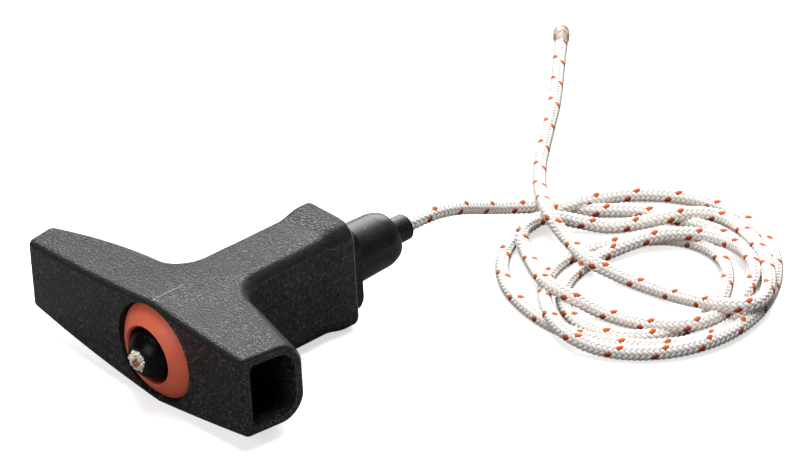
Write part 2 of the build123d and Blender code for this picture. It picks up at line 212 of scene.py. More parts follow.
def laid_down(points, first):
    """The points from the first one on, raised where the rope crosses what already lies there."""
    places, owners = walked(points, SPAN_STEPS)
    along = np.concatenate([[0], np.cumsum(np.linalg.norm(np.diff(places, axis=0), axis=1))])
    apart = np.abs(along[:, None] - along[None])
    weights = np.exp(-0.5 * (apart / HUMP_LENGTH) ** 2)
    weights /= weights.sum(axis=1)[:, None]
    heights = np.zeros(len(places))
    for _ in range(SETTLING_ROUNDS):
        settled_places = places + heights[:, None] * RISE
        lifts = np.zeros(len(places))
        for index in np.flatnonzero(owners >= first):
            beneath = settled_places[along < along[index] - OWN_NEIGHBOURHOOD]
            if len(beneath):
                lifts[index] = lowest_lift(places[index], beneath)
        widened = np.array([lifts[near].max() for near in apart < HUMP_TOP])
        heights = weights @ widened
    at_points = np.interp(np.arange(len(points)), owners, heights)
    return [point + (height if index >= first else 0) * RISE
            for index, (point, height) in enumerate(zip(points, at_points))]


route = laid_down(route, len(FROM_THE_NOZZLE) - 1)
print("highest point of the rope's line, in mm:", round(max(point[2] for point in route), 1))

# %% [markdown]
# ## The rope's core
#
# Rope like this has a bundle of straight fibres inside and a braided cover. The core here is one
# NURBS curve through the whole route with a round bevel, because a curve stays smooth however
# closely we look. It is thinner than the rope, so the braid's strands stand proud of it, and only a
# dark hint of it, coloured as painted shade, shows between them. Before it gets its bevel we read
# its line, for the strands.

# %% One spline for the whole rope
CORE_RADIUS = 1.25

core_curve = bpy.data.curves.new("rope_core", "CURVE")
core_curve.dimensions = "3D"
spline = core_curve.splines.new("NURBS")
spline.points.add(len(route) - 1)
for spline_point, place in zip(spline.points, route):
    spline_point.co = (*(place * MM), 1)
spline.order_u = 3
spline.use_endpoint_u = True
core_curve.resolution_u = SPAN_STEPS
rope_core = bpy.data.objects.new("rope_core", core_curve)
bpy.context.scene.collection.objects.link(rope_core)

line_mesh = bpy.data.meshes.new_from_object(rope_core)
line = np.array([vertex.co for vertex in line_mesh.vertices])
core_curve.bevel_depth = CORE_RADIUS * MM
core_curve.bevel_resolution = 3
core_curve.use_fill_caps = True

# %% [markdown]
# ## Directions across the rope
#
# The strands wind round the rope's line, so at every place we need two directions across it. Taking
# them from the table or from the last place before would let the pattern turn slowly round the
# rope. We take one that leans as little as it can away from where we look from. Then the orange
# flecks show on the upper side all along, as on a rope that was laid out without a twist in it.

# %% Even steps along the rope, with directions across it
LAY = 11.5
STEPS_PER_LAY = 26
LINE_SMOOTHING = 4
GRIP_END = -43.2
JUST_PAST_THE_NOZZLE = 0.01


def even_steps(points, step):
    """The same line with its points a fixed step apart, and how far along each one is."""
    along = np.concatenate([[0], np.cumsum(np.linalg.norm(np.diff(points, axis=0), axis=1))])
    count = int(round(along[-1] / step))
    stops = np.linspace(0, along[-1], count + 1)
    return np.column_stack([np.interp(stops, along, points[:, axis]) for axis in range(3)]), stops


def smoothed_line(points, passes):
    """Each point drawn a little to its neighbours, so that the spline's joints don't show."""
    for _ in range(passes):
        points[1:-1] = (points[:-2] + 2 * points[1:-1] + points[2:]) / 4
    return points


def with_directions(points, stops):
    """The points, how far along they are, the tangent, and two directions across it."""
    tangents = np.gradient(points, axis=0)
    tangents /= np.linalg.norm(tangents, axis=1)[:, None]
    over = np.array(towards_camera) - (tangents @ np.array(towards_camera))[:, None] * tangents
    over /= np.linalg.norm(over, axis=1)[:, None]
    return {"middle": points, "stops": stops, "tangent": tangents,
            "side": np.cross(over, tangents), "over": over}


free_line, free_stops = even_steps(line / MM, LAY / STEPS_PER_LAY)
free_rope = with_directions(smoothed_line(free_line, LINE_SMOOTHING), free_stops)
inside_stops = np.arange(GRIP_END - route[0][1], JUST_PAST_THE_NOZZLE, free_stops[1])
inside_line = route[0] + np.outer(inside_stops - inside_stops[-1], (0, 1, 0))
inside_rope = with_directions(inside_line, inside_stops - inside_stops[-1])
print(len(free_stops), "steps along the free rope,", len(inside_stops), "inside the grip")

# %% [markdown]
# ## The braid
#
# The cover is braided from sixteen flat strands, eight winding to the left and eight to the right.
# Each passes over two of the others and then under two, which gives rows of small slanted stitches
# like knitting. One strand of the left-hand eight is orange, and shows as flecks all along the rope.
# A pattern on a smooth tube would look printed, so we build the strands themselves: each winds round
# the core while its distance from it rises and falls in a wave, one wave for every four crossings.

# %% The line of one strand
STRANDS = 8
CROSSINGS_PER_LAY = 2 * STRANDS
OVER_AND_UNDER = 4
RIGHT_START = 0.5
LEFT_START = 2.5
BRAID_MIDDLE_RADIUS = 1.47
BRAID_RISE = 0.28
FLECK_TURN = math.radians(-11.25)


def strand_line(rope, number, hand, proud):
    """The middle of one strand at each step along the rope, and the way outwards there."""
    turns = rope["stops"] / LAY
    if hand == "right":
        angle = 2 * math.pi * (number / STRANDS + turns)
        phase = (CROSSINGS_PER_LAY * turns + 2 * number - RIGHT_START) / OVER_AND_UNDER
    else:
        angle = 2 * math.pi * (number / STRANDS - turns)
        phase = (2 * number - CROSSINGS_PER_LAY * turns - LEFT_START) / OVER_AND_UNDER
    angle = angle + FLECK_TURN
    radius = BRAID_MIDDLE_RADIUS + BRAID_RISE * np.cos(2 * math.pi * phase) + proud
    outwards = np.cos(angle)[:, None] * rope["side"] + np.sin(angle)[:, None] * rope["over"]
    return rope["middle"] + radius[:, None] * outwards, outwards


print("a strand runs", BRAID_MIDDLE_RADIUS, "mm off the rope's line, give or take", BRAID_RISE)

# %% [markdown]
# ## Strands as thin ribbons
#
# A round strand would need many faces, and a flat one would look like tape. A strand under tension
# spreads to a low arch, so its section here is an arch of five corners. The orange tracer is a
# little wider and prouder than the white ones. Every face also gets a map, across the strand and
# along it, which the finish uses later for the filaments.

# %% The ribbon of one strand
STRAND_WIDTH = 1.05
STRAND_THICKNESS = 0.46
TRACER = (0, "left")
TRACER_WIDTH = 1.4
TRACER_PROUD = 0.05
PROFILE = [(0.5, -0.5), (0.38, 0.2), (0.0, 0.5), (-0.38, 0.2), (-0.5, -0.5)]


def strand_ribbon(rope, number, hand, is_tracer):
    """Corner places of one strand's ribbon: a small arch of five at each step along the rope."""
    width = STRAND_WIDTH * (TRACER_WIDTH if is_tracer else 1)
    centre, outwards = strand_line(rope, number, hand, TRACER_PROUD if is_tracer else 0)
    run = np.gradient(centre, axis=0)
    run /= np.linalg.norm(run, axis=1)[:, None]
    sideways = np.cross(run, outwards)
    sideways /= np.linalg.norm(sideways, axis=1)[:, None]
    return np.stack([centre + across * width * sideways + up * STRAND_THICKNESS * outwards
                     for across, up in PROFILE], axis=1)


def ribbon_faces(base, steps):
    """The faces of a ribbon whose corners are numbered from a base, and the map of each corner."""
    corners = len(PROFILE)
    faces, maps = [], []
    for index in range(steps - 1):
        here, there = base + index * corners, base + (index + 1) * corners
        for corner in range(corners):
            beside = (corner + 1) % corners
            faces.append((here + corner, here + beside, there + beside, there + corner))
            left, right = corner / corners, (corner + 1) / corners
            maps.extend([(left, index), (right, index), (right, index + 1), (left, index + 1)])
    last = base + (steps - 1) * corners
    faces.append(tuple(base + corner for corner in reversed(range(corners))))
    faces.append(tuple(last + corner for corner in range(corners)))
    maps.extend([(corner / corners, 0) for corner in range(corners)] * 2)
    return faces, maps


print("a strand is", STRAND_WIDTH, "mm wide, and its section has", len(PROFILE), "corners")

# %% [markdown]
# ## One object for several strands
#
# The whole braid as one object would be too heavy to handle, and one object for each strand would
# be a nuisance to dress. So we braid the free rope in four objects of four strands each. They stop
# inside the melted tip, where the fibres run together. The short stretch inside the grip is a fifth.

# %% Braid the free rope and the stretch inside the grip
ENDS_IN_TIP = 5.0


def braid_mesh(name, rope, strands):
    """One object of some strands, each a number and a hand, with the tracer's faces marked."""
    vertices, faces, finish_numbers, maps = [], [], [], []
    steps = len(rope["stops"])
    for count, (number, hand) in enumerate(strands):
        is_tracer = (number, hand) == TRACER
        vertices.append(strand_ribbon(rope, number, hand, is_tracer).reshape(-1, 3))
        strand_faces, strand_maps = ribbon_faces(count * steps * len(PROFILE), steps)
        faces.extend(strand_faces)
        maps.extend(strand_maps)
        finish_numbers.extend([int(is_tracer)] * len(strand_faces))
    mesh = bpy.data.meshes.new(name)
    mesh.from_pydata([tuple(place * MM) for place in np.concatenate(vertices)], [], faces)
    layer = mesh.uv_layers.new(name="along_and_across")
    layer.data.foreach_set("uv", np.array(maps, dtype=np.float32).ravel())
    mesh.polygons.foreach_set("material_index", finish_numbers)
    mesh.polygons.foreach_set("use_smooth", [True] * len(faces))
    mesh.validate()
    mesh.update()
    braid = bpy.data.objects.new(name, mesh)
    bpy.context.scene.collection.objects.link(braid)
    print(name, "has", sum(len(face) - 2 for face in faces), "triangles")
    return braid


braided_steps = len(free_stops) - int(round(ENDS_IN_TIP / free_stops[1]))
braided_rope = {name: values[:braided_steps] for name, values in free_rope.items()}
halves = [[(number, hand) for number in numbers] for hand in ("left", "right")
          for numbers in (range(0, 4), range(4, 8))]
half_names = ("rope_braid_left_1", "rope_braid_left_2", "rope_braid_right_1", "rope_braid_right_2")
braids = [braid_mesh(name, braided_rope, strands) for name, strands in zip(half_names, halves)]
braid_in_grip = braid_mesh("rope_braid_in_grip", inside_rope, sum(halves, []))

# %% [markdown]
# ## Modelling by hand
#
# The next pieces are shaped with Blender's own operators, as by hand. An operator works on all that
# is selected, and the CAD pieces are still selected from loading. So we start each piece with
# nothing selected. When a piece is done, its place and turn go into its mesh, and its object stays
# at the origin like those of the CAD pieces.

# %% Helpers for modelling by hand
def deselect_everything():
    """Nothing selected, so that the next operator works only on what we pick."""
    if bpy.context.object and bpy.context.object.mode != "OBJECT":
        bpy.ops.object.mode_set(mode="OBJECT")
    bpy.ops.object.select_all(action="DESELECT")


def named(name):
    """The object just added, with a name of its own."""
    made = bpy.context.object
    made.name = made.data.name = name
    return made


def settled(piece):
    """The piece's place, turn and size put into its mesh, and its object left at the origin."""
    deselect_everything()
    piece.select_set(True)
    bpy.context.view_layer.objects.active = piece
    bpy.ops.object.transform_apply(location=True, rotation=True, scale=True)
    bpy.ops.object.shade_smooth()
    print(piece.name, "has", len(piece.data.polygons), "faces")
    return piece


# %% [markdown]
# ## The melted tip
#
# Rope of man-made fibre is sealed with a flame so that it doesn't fray. The fibre melts and draws
# back into a smooth swollen tip, a little thicker than the rope. It could be a swelling of the core's
# bevel, but a piece of its own can be dented and has its own finish. It is a small sphere, stretched
# along the rope's end and then dented in edit mode. The braid ends inside it.

# %% The melted tip
TIP_LENGTH = 10.5
TIP_RADIUS = 2.45
TIP_FLATTENED = 0.94
TIP_DENTS = 0.25
TIP_SET_BACK = 4.0
TIP_RAISED = 0.45

deselect_everything()
end_tangent = free_rope["tangent"][-1]
tip_on_line = Vector(free_rope["middle"][-1] - TIP_SET_BACK * end_tangent)
tip_middle = (tip_on_line + Vector((0, 0, TIP_RAISED))) * MM
bpy.ops.mesh.primitive_uv_sphere_add(segments=36, ring_count=24, radius=TIP_RADIUS * MM,
                                     location=tip_middle)
melted_tip = named("rope_melted_tip")
melted_tip.rotation_mode = "QUATERNION"
melted_tip.rotation_quaternion = Vector(end_tangent).to_track_quat("Z", "X")
melted_tip.scale = (1.0, TIP_FLATTENED, 0.5 * TIP_LENGTH / TIP_RADIUS)
settled(melted_tip)
bpy.ops.object.mode_set(mode="EDIT")
bpy.ops.mesh.select_all(action="SELECT")
bpy.ops.transform.vertex_random(offset=TIP_DENTS * MM, uniform=0.0, normal=1.0, seed=3)
bpy.ops.mesh.vertices_smooth(factor=0.5, repeat=1)
bpy.ops.object.mode_set(mode="OBJECT")

# %% [markdown]
# ## A bundle of fibres
#
# The other end of the rope was cut off short on the black dome, where its fibres stand out as a
# ragged head. Fibres clump into small bundles, so we model one bundle and copy it. It is drawn up
# from a circle in three extrusions, each leaning a little further and ending a little thinner.

# %% One bundle, drawn up from a circle
FIBRE_RADIUS = 0.4
FIBRE_STEPS = [(0.5, 0.06, 1.0), (0.4, 0.12, 0.85), (0.3, 0.16, 0.5)]

deselect_everything()
bpy.ops.mesh.primitive_circle_add(vertices=6, radius=FIBRE_RADIUS * MM, fill_type="NGON")
fibre_bundle = named("fibre_bundle")
bpy.ops.object.mode_set(mode="EDIT")
bpy.ops.mesh.select_all(action="SELECT")
for rise, lean, shrink in FIBRE_STEPS:
    bpy.ops.mesh.extrude_region_move(TRANSFORM_OT_translate={"value": (lean * MM, 0, rise * MM)})
    bpy.ops.transform.resize(value=(shrink, shrink, 1))
bpy.ops.mesh.select_all(action="SELECT")
bpy.ops.mesh.normals_make_consistent(inside=False)
bpy.ops.object.mode_set(mode="OBJECT")
print("one bundle has", len(fibre_bundle.data.polygons), "faces")

# %% [markdown]
# ## The ragged head
#
# The copies are set out like the seeds of a sunflower: each one a golden angle on from the last,
# which fills a round head evenly. Towards the rim they lean further out and get shorter. A little
# chance, from a fixed seed, makes the head ragged and yet the same in every run. Where the flame
# touched the middle of the head the fibre is brown, so the faces there get a second finish.

# %% Copies of the bundle all over the head
head_low, head_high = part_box("rope_in_grip")
dome_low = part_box("rope_nipple")[0]
HEAD_SUNK = 0.3
HEAD_RADIUS = 2.0
HEAD_SPREAD = 0.8
HEAD_UNEVEN = 0.2
BUNDLES = 110
BUNDLE_LENGTHS = (0.8, 1.5)
MIDDLE_LONGER = 1.25
RIM_SHORTER = 0.45
GOLDEN_TURN = math.radians(137.5)

head_place = Vector((0.5 * (head_low.x + head_high.x), dome_low.y + HEAD_SUNK * MM,
                     0.5 * (head_low.z + head_high.z)))
chance = np.random.default_rng(7)
bundles = []
for number in range(BUNDLES):
    share = math.sqrt((number + 0.5) / BUNDLES)
    turn = number * GOLDEN_TURN
    outward = Vector((math.cos(turn), 0, math.sin(turn)))
    lean = HEAD_SPREAD * share + chance.normal(0, HEAD_UNEVEN)
    aim = (Vector((0, -1, 0)) * math.cos(lean) + outward * math.sin(lean)).normalized()
    spin = chance.uniform(0, 2 * math.pi)
    stretch = chance.uniform(*BUNDLE_LENGTHS) * (MIDDLE_LONGER - RIM_SHORTER * share)
    mesh = fibre_bundle.data.copy()
    mesh.transform(Matrix.Translation(head_place + share * HEAD_RADIUS * MM * outward)
                   @ aim.to_track_quat("Z", "Y").to_matrix().to_4x4()
                   @ Matrix.Rotation(spin, 4, "Z")
                   @ Matrix.Diagonal((1.0, 1.0, stretch, 1.0)))
    bundle = bpy.data.objects.new(f"bundle_{number}", mesh)
    bpy.context.scene.collection.objects.link(bundle)
    bundles.append(bundle)
bpy.data.objects.remove(fibre_bundle)
print(len(bundles), "bundles on a head", 2 * HEAD_RADIUS, "mm across")

# %% Join them, and mark the brown middle
BROWN_REACH = 1.15
BROWN_ASIDE = Vector((0.45, 0, -0.3))

deselect_everything()
for bundle in bundles:
    bundle.select_set(True)
bpy.context.view_layer.objects.active = bundles[0]
bpy.ops.object.join()
rope_head = named("rope_ragged_head")
settled(rope_head)
for face in rope_head.data.polygons:
    off_axis = face.center - head_place - BROWN_ASIDE * MM
    off_axis.y = 0
    face.material_index = int(off_axis.length < BROWN_REACH * MM)

# %% [markdown]
# ## Finishes
#
# Every finish starts from one shader, the Principled BSDF. What is the same all over is set on its
# own sockets. What changes over the surface, such as grain, dust and wear, comes from patterns that
# are worked out from the place on the piece. A painted image would do too, but it blurs close up.
# The base colour given first is what shows where a pattern can't be read.

# %% Helpers for materials
def new_finish(name, base, roughness, **sockets):
    """A material with its shader set, and the pieces needed to add to it."""
    material = bpy.data.materials.new(name)
    material.use_nodes = True
    tree = material.node_tree
    shader = tree.nodes["Principled BSDF"]
    shader.inputs["Base Color"].default_value = (*base, 1)
    shader.inputs["Roughness"].default_value = roughness
    for socket, value in sockets.items():
        shader.inputs[socket.replace("_", " ")].default_value = value
    return material, tree, shader


def add_node(tree, kind, **values):
    """A node with its settings and unlinked inputs filled in by name."""
    node = tree.nodes.new(kind)
    for name, value in values.items():
        socket = node.inputs.get(name.replace("_", " "))
        if socket is None:
            setattr(node, name, value)
        else:
            socket.default_value = value
    return node


def place_on_piece(tree):
    """Where on the piece a point of the surface is, in metres."""
    return add_node(tree, "ShaderNodeTexCoord").outputs["Object"]


def way_it_faces(tree):
    """Which way the surface faces at a point."""
    return add_node(tree, "ShaderNodeNewGeometry").outputs["Normal"]


# %% [markdown]
# ## Effects that several finishes share
#
# Grain, patches and a shade on leaning surfaces come back in finish after finish with other numbers.
# We could copy the nodes each time, but then one improvement means many edits. So each effect is a
# node group, made once: it reads a place or a normal, has its numbers as inputs and puts out a mask
# or a height. Two helpers make an empty group, and put one into a material.

# %% Helpers for shared effects
def new_effect(name, reads, inputs, output):
    """An empty node group that reads a vector and some numbers, and puts out one number."""
    tree = bpy.data.node_groups.new(name, "ShaderNodeTree")
    tree.interface.new_socket(reads, in_out="INPUT", socket_type="NodeSocketVector")
    for socket, value in inputs.items():
        made = tree.interface.new_socket(socket, in_out="INPUT", socket_type="NodeSocketFloat")
        made.default_value = value
    tree.interface.new_socket(output, in_out="OUTPUT", socket_type="NodeSocketFloat")
    return tree, tree.nodes.new("NodeGroupInput"), tree.nodes.new("NodeGroupOutput")


def put_effect(tree, effect, reading, **values):
    """One use of an effect in a material, reading a vector and given its own numbers."""
    node = tree.nodes.new("ShaderNodeGroup")
    node.node_tree = effect
    tree.links.new(reading, node.inputs[0])
    for name, value in values.items():
        node.inputs[name].default_value = value
    return node.outputs[0]


# %% [markdown]
# ## Grain and patches
#
# Grain is a fine noise, used as a height. Patches are a noise too, cut off at two levels, so that they
# are black in one place, white in another and soft between. With a large scale number the same
# patches shrink to specks and dust, so one group serves for all three.

# %% Moulded grain and patchy marks
grain, grain_in, grain_out = new_effect("moulded_grain", "Place", {"Scale": 1500.0}, "Height")
pits = add_node(grain, "ShaderNodeTexNoise", Detail=3.0, Roughness=0.6)
grain.links.new(grain_in.outputs["Place"], pits.inputs["Vector"])
grain.links.new(grain_in.outputs["Scale"], pits.inputs["Scale"])
grain.links.new(pits.outputs["Fac"], grain_out.inputs["Height"])

marks, marks_in, marks_out = new_effect("patchy_marks", "Place",
                                        {"Scale": 60.0, "Low": 0.4, "High": 0.6}, "Mask")
clouds = add_node(marks, "ShaderNodeTexNoise", Detail=5.0, Roughness=0.6)
band = add_node(marks, "ShaderNodeMapRange", interpolation_type="SMOOTHSTEP")
marks.links.new(marks_in.outputs["Place"], clouds.inputs["Vector"])
marks.links.new(marks_in.outputs["Scale"], clouds.inputs["Scale"])
marks.links.new(clouds.outputs["Fac"], band.inputs["Value"])
marks.links.new(marks_in.outputs["Low"], band.inputs["From Min"])
marks.links.new(marks_in.outputs["High"], band.inputs["From Max"])
marks.links.new(band.outputs["Result"], marks_out.inputs["Mask"])
print("effects:", grain.name, marks.name)

# %% [markdown]
# ## A band of leaning surfaces
#
# Edges are often found with the Bevel node or with the mesh's pointiness, but the
# CAD pieces have rounded edges of many small faces, where both see nothing. On a part that lies flat
# it is simpler to ask how far the surface faces up: 1 on the top, 0 on the sides, between the two on
# a rounded edge. Two slopes, one up and one down, multiplied, keep only what lies between.

# %% Where the surface leans
leaning, leaning_in, leaning_out = new_effect(
    "leaning_band", "Normal", {"Lowest": 0.0, "Low": 0.3, "High": 0.7, "Highest": 1.0}, "Mask")
facing = add_node(leaning, "ShaderNodeSeparateXYZ")
overlap = add_node(leaning, "ShaderNodeMath", operation="MULTIPLY")
leaning.links.new(leaning_in.outputs["Normal"], facing.inputs[0])
for count, (black, white) in enumerate((("Lowest", "Low"), ("Highest", "High"))):
    slope = add_node(leaning, "ShaderNodeMapRange")
    leaning.links.new(facing.outputs["Z"], slope.inputs["Value"])
    leaning.links.new(leaning_in.outputs[black], slope.inputs["From Min"])
    leaning.links.new(leaning_in.outputs[white], slope.inputs["From Max"])
    leaning.links.new(slope.outputs["Result"], overlap.inputs[count])
leaning.links.new(overlap.outputs[0], leaning_out.inputs["Mask"])
print("one more effect:", leaning.name)

# %% [markdown]
# ## From masks to colour, shine and relief
#
# A mask is a number from 0, black, to 1, white, at each point. To use it we blend two colours by it,
# or two numbers, or lay a tint over a colour that is already there. A height becomes relief through
# a Bump node, which bends the light without moving the surface. It is right for grain finer than
# any face, while larger forms are modelled.

# %% Helpers that use masks
def blended(tree, mask, low, high):
    """A colour between two, by a mask. The first is fixed or comes from another node."""
    mix = tree.nodes.new("ShaderNodeMix")
    mix.data_type = "RGBA"
    mix.inputs["B"].default_value = (*high, 1)
    tree.links.new(mask, mix.inputs["Factor"])
    if isinstance(low, tuple):
        mix.inputs["A"].default_value = (*low, 1)
    else:
        tree.links.new(low, mix.inputs["A"])
    return mix.outputs["Result"]


def mapped(tree, value, low, high, **ranges):
    """A number between two, by a mask or by another number's range."""
    node = add_node(tree, "ShaderNodeMapRange", To_Min=low, To_Max=high, **ranges)
    tree.links.new(value, node.inputs["Value"])
    return node.outputs["Result"]


def bumped(tree, height, shader, distance, strength):
    """Relief on a shader: a Bump node between a height and its normal."""
    bump = add_node(tree, "ShaderNodeBump", Distance=distance, Strength=strength)
    tree.links.new(height, bump.inputs["Height"])
    tree.links.new(bump.outputs["Normal"], shader.inputs["Normal"])


# %% [markdown]
# ## What the mould left on the grip, and painted rim highlights
#
# The grip is one moulding of black nylon. Where the two halves of its mould met there is a seam, and
# where the nylon was injected there is a smooth round spot. The sharp rims of the flange and of the
# open arm get a painted highlight, a grey hair line. Cutting these into the mesh would take thousands
# of tiny faces for marks that have no depth to see, so each is a mask from the place on the piece. Such a
# mask compares the place's numbers with a limit, and a few helpers make that short to say.

# %% Helpers that make masks from places
def parts_of(tree, vector):
    """A vector's shares along X, Y and Z."""
    spread = add_node(tree, "ShaderNodeSeparateXYZ")
    tree.links.new(vector, spread.inputs[0])
    return spread.outputs


def reckoned(tree, operation, first, second):
    """A Math node of a linked number and another, which is linked or fixed."""
    node = add_node(tree, "ShaderNodeMath", operation=operation)
    tree.links.new(first, node.inputs[0])
    if isinstance(second, float):
        node.inputs[1].default_value = second
    else:
        tree.links.new(second, node.inputs[1])
    return node.outputs[0]


def vector_node(tree, operation, vector, fixed):
    """A Vector Math node of a linked vector and a fixed one."""
    node = add_node(tree, "ShaderNodeVectorMath", operation=operation)
    node.inputs[1].default_value = fixed
    tree.links.new(vector, node.inputs[0])
    return node


# %% Masks for rims, seam and gate spot
RIM_WIDTH = 0.0003
END_FACE_LIMIT = 0.96
SEAM_ACROSS = 0.0090
SEAM_END = -0.0262
SEAM_FADES = 0.004
SEAM_WIDTH = 0.0002
SEAM_SHOWS = 0.9
SPOT_MIDDLE = (0.0221, -0.0316, 0.0300)
SPOT_RADIUS = 0.0055
SPOT_CORE = 0.6


def rim_highlight_line(tree, place, axis, end):
    """Mask of the painted rim highlight: a hair line round the end along one axis, not on the end face.
    """
    at_end = reckoned(tree, "GREATER_THAN", parts_of(tree, place)[axis], end - RIM_WIDTH)
    off_face = reckoned(tree, "LESS_THAN", parts_of(tree, way_it_faces(tree))[axis], END_FACE_LIMIT)
    return reckoned(tree, "MULTIPLY", at_end, off_face)


def seam_line(tree, place):
    """White on a straight hair line along the stem, fading in from where the seam ends."""
    parts = parts_of(tree, place)
    on_line = reckoned(tree, "COMPARE", parts["X"], SEAM_ACROSS)
    on_line.node.inputs[2].default_value = SEAM_WIDTH
    reached = mapped(tree, parts["Y"], 0.0, SEAM_SHOWS, From_Min=SEAM_END, From_Max=SEAM_END - SEAM_FADES)
    return reckoned(tree, "MULTIPLY", on_line, reached)


def gate_spot(tree, place):
    """White in a soft round spot."""
    away = vector_node(tree, "DISTANCE", place, SPOT_MIDDLE).outputs["Value"]
    return mapped(tree, away, 0.0, 1.0, From_Min=SPOT_RADIUS, From_Max=SPOT_CORE * SPOT_RADIUS)


grip_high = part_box("grip_body")[1]
print("rims of the arm and the flange at", round(grip_high.x, 4), "and", round(grip_high.y, 4), "m")

# %% [markdown]
# ## The grip's black plastic
#
# The mould was spark-eroded, which leaves a fine even grain. It scatters light, so the top looks
# grey under a bright ceiling, with paler specks where a single grain catches it. Rounded edges get a
# painted shade, almost black, which a leaning band of the normal finds. From there the order matters:
# specks first, then spot and seam, then the painted edge shade, and the painted rim highlights on top.

# %% Grained black plastic
GRIP_BLACK = (0.012, 0.012, 0.0125)
SPECK_DARK = (0.001, 0.001, 0.0012)
SPECK_PALE = (0.13, 0.126, 0.127)
SPOT_GREY = (0.012, 0.012, 0.012)
# The rounded edges get a painted shade, almost black.
EDGE_PAINTED_SHADE = (0.002, 0.002, 0.0022)
# A grey that the seam has of its own, and on the rims a painted highlight.
SEAM_GREY_AND_RIM_HIGHLIGHT = (0.24, 0.23, 0.22)
EDGE_SHADE_LEANS = {"Lowest": 0.12, "Low": 0.35, "High": 0.82, "Highest": 0.95}
GRAIN_SCALE = 1700.0

grip_plastic, tree, shader = new_finish("grained_black_plastic", GRIP_BLACK, roughness=0.42)
place = place_on_piece(tree)
specks = put_effect(tree, marks, place, Scale=GRAIN_SCALE, Low=0.52, High=0.64)
colour = blended(tree, specks, SPECK_DARK, SPECK_PALE)
colour = blended(tree, gate_spot(tree, place), colour, SPOT_GREY)
colour = blended(tree, seam_line(tree, place), colour, SEAM_GREY_AND_RIM_HIGHLIGHT)
# Painted shade on the rounded edges; the same band also makes them rougher.
edge_shade_band = put_effect(tree, leaning, way_it_faces(tree), **EDGE_SHADE_LEANS)
colour = blended(tree, edge_shade_band, colour, EDGE_PAINTED_SHADE)
# The rims of the flange and the open arm get a painted highlight.
for axis, end in (("X", grip_high.x), ("Y", grip_high.y)):
    colour = blended(tree, rim_highlight_line(tree, place, axis, end), colour, SEAM_GREY_AND_RIM_HIGHLIGHT)
tree.links.new(colour, shader.inputs["Base Color"])
handled = mapped(tree, put_effect(tree, marks, place, Scale=90.0, Low=0.35, High=0.7), 0.36, 0.46)
roughness = reckoned(tree, "MAXIMUM", handled, mapped(tree, edge_shade_band, 0.3, 0.8))
tree.links.new(roughness, shader.inputs["Roughness"])
bumped(tree, put_effect(tree, grain, place, Scale=GRAIN_SCALE), shader, distance=0.0014, strength=1.0)
print(grip_plastic.name, "has", len(tree.nodes), "nodes")

# %% [markdown]
# ## Orange elastomer
#
# The cone is a soft orange elastomer with a satin skin, a little mottled. Inside its mouth, next to
# the dome, the wall lies in shade, where light bounces from orange to orange and comes out a deep
# red. The render finds some of that by itself, but not so dark a red. So the wall of the mouth gets a
# painted shade of deep red, found by its distance from the cone's axis.

# %% Orange elastomer
bush_low, bush_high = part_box("damper_bush")
CONE_AXIS = (0.5 * (bush_low.x + bush_high.x), 0, 0.5 * (bush_low.z + bush_high.z))
MOUTH_REACH = 0.0076
MOUTH_FADES = 0.0004
PLAIN_ORANGE = (0.70, 0.13, 0.06)
ORANGE_LOW = (0.82, 0.145, 0.075)
ORANGE_HIGH = (0.90, 0.18, 0.095)
# A painted shade of deep red for the wall of the mouth.
MOUTH_PAINTED_SHADE = (0.32, 0.028, 0.018)


def within_mouth(tree, place):
    """White nearer to the cone's axis than the mouth reaches, fading out just past it."""
    off_axis = vector_node(tree, "SUBTRACT", place, CONE_AXIS).outputs[0]
    flattened = vector_node(tree, "MULTIPLY", off_axis, (1, 0, 1)).outputs[0]
    distance = vector_node(tree, "LENGTH", flattened, (0, 0, 0)).outputs["Value"]
    return mapped(tree, distance, 0.0, 1.0, From_Min=MOUTH_REACH + MOUTH_FADES, From_Max=MOUTH_REACH)


orange_elastomer, tree, shader = new_finish("orange_elastomer", PLAIN_ORANGE, roughness=0.42,
                                            Specular_IOR_Level=0.4)
place = place_on_piece(tree)
mottle = put_effect(tree, marks, place, Scale=220.0, Low=0.3, High=0.75)
mottled = blended(tree, mottle, ORANGE_LOW, ORANGE_HIGH)
# The wall of the mouth, near the cone's axis, gets the painted shade.
tree.links.new(blended(tree, within_mouth(tree, place), mottled, MOUTH_PAINTED_SHADE), shader.inputs["Base Color"])
bumped(tree, put_effect(tree, grain, place, Scale=900.0), shader, distance=0.0001, strength=0.25)
print("the cone's axis is at", round(CONE_AXIS[0], 4), "across and", round(CONE_AXIS[2], 4), "m up")

# %% [markdown]
# ## Smooth black rubber and plastic
#
# The dome and the boot come from polished moulds, so they have no grain, only a ripple too faint to
# see by itself. A mirror finish would look new and hard. Handling has dulled them in patches, and a
# few specks of dust lie on them. Both finishes are made alike, with other numbers.

# %% Smooth black finishes
PATCH_DULLER = 0.1
DUST_GREY = (0.16, 0.15, 0.14)
DOME_BLACK = (0.002, 0.002, 0.003)
BOOT_BLACK = (0.009, 0.009, 0.0095)


def smooth_black(name, base, roughness, patch_scale, shine):
    """A smooth black with dull patches where it was handled, and a little dust."""
    material, tree, shader = new_finish(name, base, roughness, Specular_IOR_Level=shine)
    place = place_on_piece(tree)
    patches = put_effect(tree, marks, place, Scale=patch_scale, Low=0.35, High=0.7)
    tree.links.new(mapped(tree, patches, roughness, roughness + PATCH_DULLER), shader.inputs["Roughness"])
    dust = put_effect(tree, marks, place, Scale=1300.0, Low=0.66, High=0.70)
    tree.links.new(blended(tree, dust, base, DUST_GREY), shader.inputs["Base Color"])
    bumped(tree, put_effect(tree, grain, place, Scale=700.0), shader, distance=0.00005, strength=0.2)
    return material


dome_black = smooth_black("polished_black_plastic", DOME_BLACK, roughness=0.26,
                          patch_scale=300.0, shine=0.14)
boot_rubber = smooth_black("smooth_black_rubber", BOOT_BLACK, roughness=0.34,
                           patch_scale=150.0, shine=0.26)
print("smooth finishes:", dome_black.name, boot_rubber.name)
